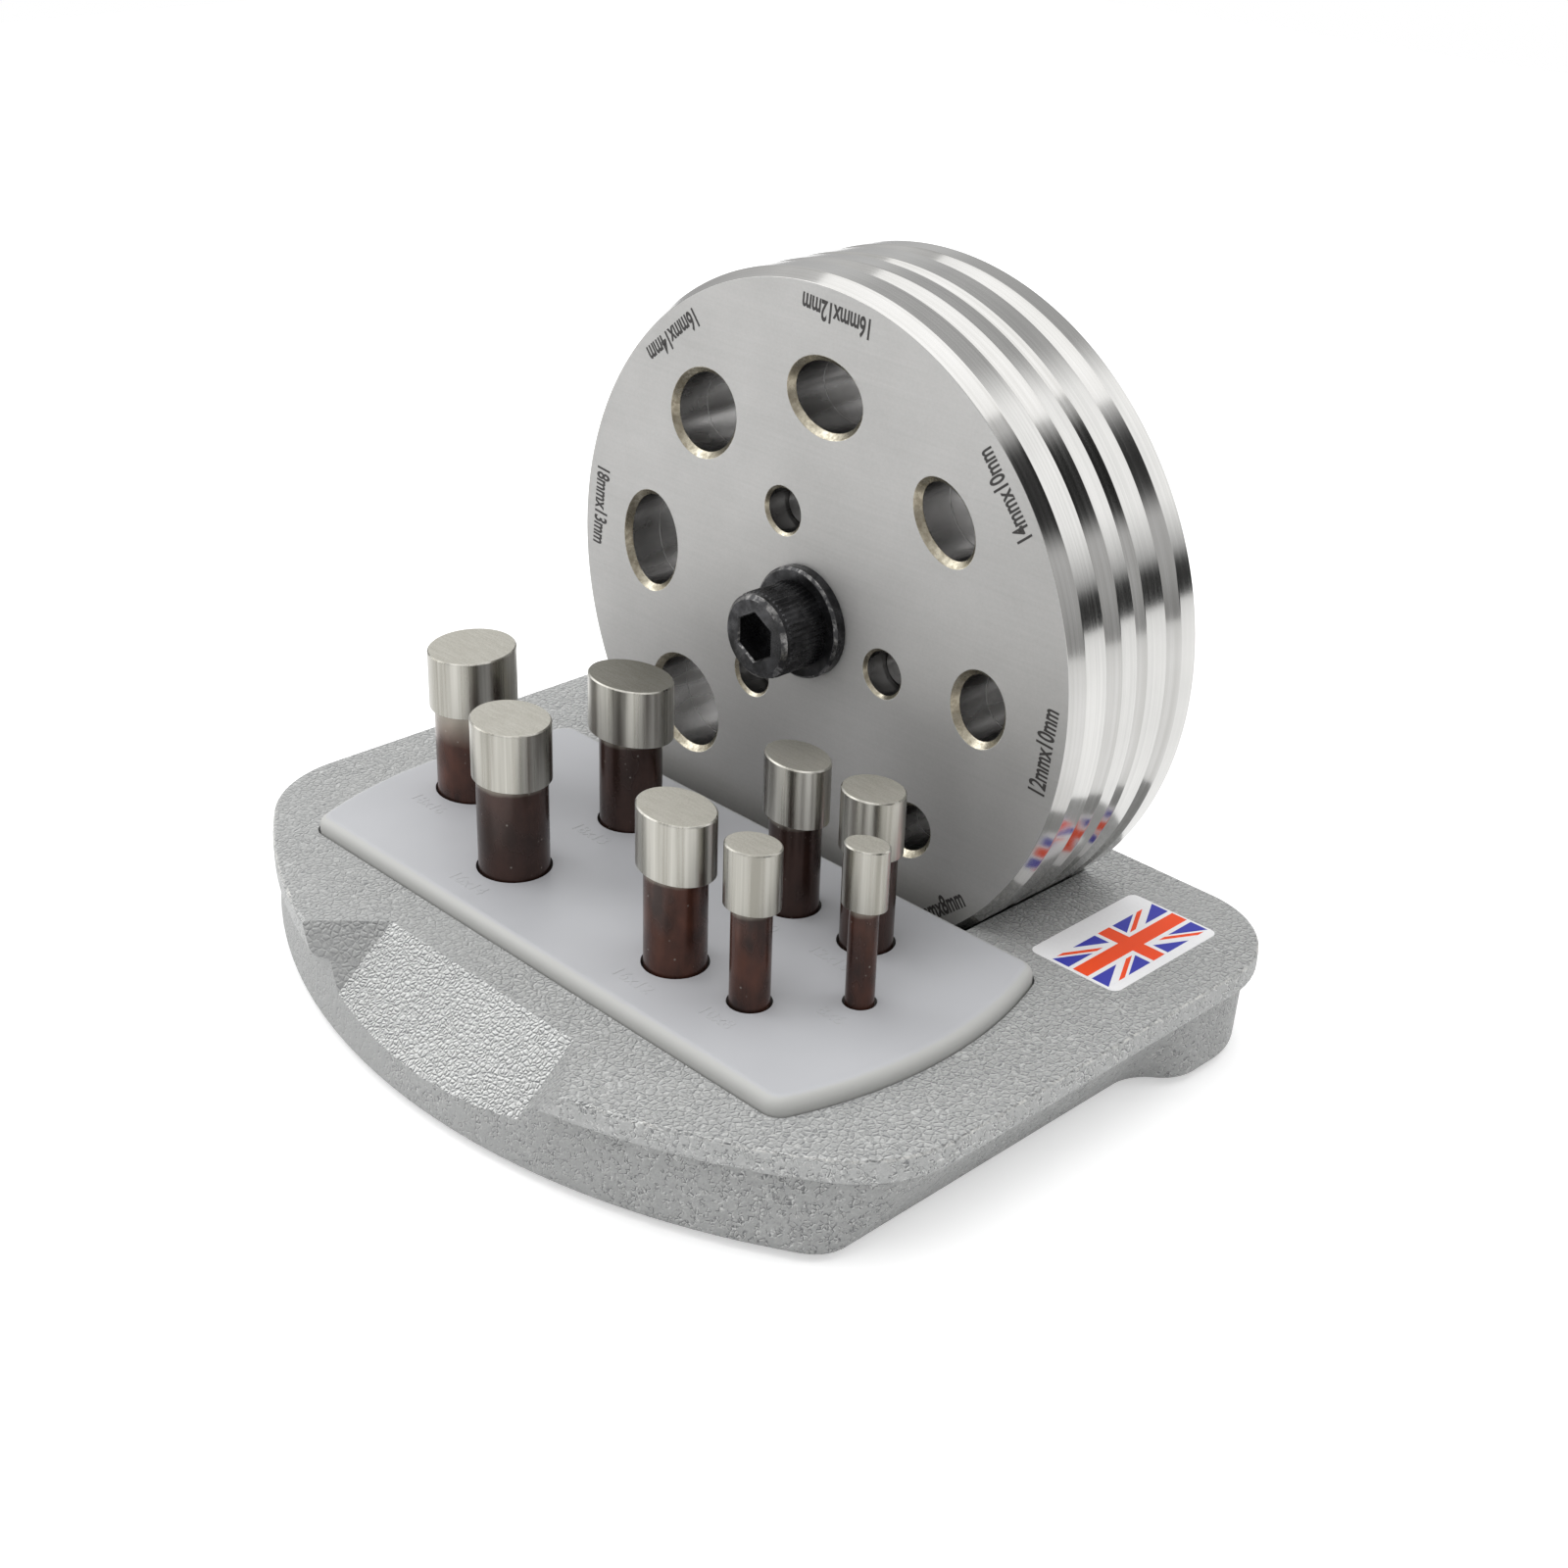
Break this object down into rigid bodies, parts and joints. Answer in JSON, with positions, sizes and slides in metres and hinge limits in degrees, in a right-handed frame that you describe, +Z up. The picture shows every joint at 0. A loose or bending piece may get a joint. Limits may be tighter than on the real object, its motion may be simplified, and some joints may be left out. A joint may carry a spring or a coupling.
{
  "type": "jewelers disc cutter",
  "caption": "Bench disc cutter: round ground die plates clamped by a socket screw stand on edge in a cast stand, with oval punches in a plastic tray.",
  "frame": {"origin": "on the bench under the middle of the stand's footprint", "axes": "+X right, +Y to the back, +Z up; the punch tray is at the front and the die plates stand behind it, square to Y"},
  "size_m": [0.169, 0.1324, 0.1277],
  "materials": {
    "hammered_paint": "silver-grey hammered paint on a casting",
    "tray_plastic": "pale blue-grey moulded plastic",
    "ground_steel": "ground and turned tool steel",
    "punch_steel": "ground head on a hardened brown-black shank",
    "black_oxide": "black oxide",
    "pad_rubber": "black rubber"
  },
  "bodies": {
    "stand": {"base_casting": "hammered_paint", "punch_tray": "tray_plastic", "foot_pad_front_left": "pad_rubber", "foot_pad_front_right": "pad_rubber", "foot_pad_rear_left": "pad_rubber", "foot_pad_rear_right": "pad_rubber"},
    "die_block": {"cutting_plate": "ground_steel", "backing_plate": "ground_steel", "guide_pin_1": "ground_steel", "guide_pin_2": "ground_steel", "guide_pin_3": "ground_steel"},
    "guide_plates": {"front_guide_plate": "ground_steel", "rear_guide_plate": "ground_steel", "thrust_washer": "black_oxide"},
    "cap_screw": {"cap_screw": "black_oxide"},
    "punch_18x13": {"punch_18x13": "punch_steel"},
    "punch_16x14": {"punch_16x14": "punch_steel"},
    "punch_16x12": {"punch_16x12": "punch_steel"},
    "punch_14x10": {"punch_14x10": "punch_steel"},
    "punch_12x10": {"punch_12x10": "punch_steel"},
    "punch_10x8": {"punch_10x8": "punch_steel"},
    "punch_8x6": {"punch_8x6": "punch_steel"},
    "punch_18x16": {"punch_18x16": "punch_steel"}
  },
  "joints": [
    {"name": "die_block_lift", "type": "slide", "parent": "stand", "child": "die_block", "axis": [0, 0, 1], "range_m": [0, 0.06]},
    {"name": "guide_plates_open", "type": "slide", "parent": "die_block", "child": "guide_plates", "axis": [0, -1, 0], "range_m": [0, 0.00225]},
    {"name": "cap_screw_turn", "type": "hinge", "parent": "guide_plates", "child": "cap_screw", "pos_m": [0, 0.01575, 0.0652], "axis": [0, -1, 0], "range_deg": [0, 540]},
    {"name": "punch_18x13_lift", "type": "slide", "parent": "stand", "child": "punch_18x13", "axis": [0, 0, 1], "range_m": [0, 0.05]},
    {"name": "punch_16x14_lift", "type": "slide", "parent": "stand", "child": "punch_16x14", "axis": [0, 0, 1], "range_m": [0, 0.05]},
    {"name": "punch_16x12_lift", "type": "slide", "parent": "stand", "child": "punch_16x12", "axis": [0, 0, 1], "range_m": [0, 0.05]},
    {"name": "punch_14x10_lift", "type": "slide", "parent": "stand", "child": "punch_14x10", "axis": [0, 0, 1], "range_m": [0, 0.05]},
    {"name": "punch_12x10_lift", "type": "slide", "parent": "stand", "child": "punch_12x10", "axis": [0, 0, 1], "range_m": [0, 0.05]},
    {"name": "punch_10x8_lift", "type": "slide", "parent": "stand", "child": "punch_10x8", "axis": [0, 0, 1], "range_m": [0, 0.05]},
    {"name": "punch_8x6_lift", "type": "slide", "parent": "stand", "child": "punch_8x6", "axis": [0, 0, 1], "range_m": [0, 0.05]},
    {"name": "punch_18x16_lift", "type": "slide", "parent": "stand", "child": "punch_18x16", "axis": [0, 0, 1], "range_m": [0, 0.05]}
  ],
  "couplings": [
    {"joint": "cap_screw_turn", "follows": "guide_plates_open", "rad_per_m": 4188.8}
  ]
}
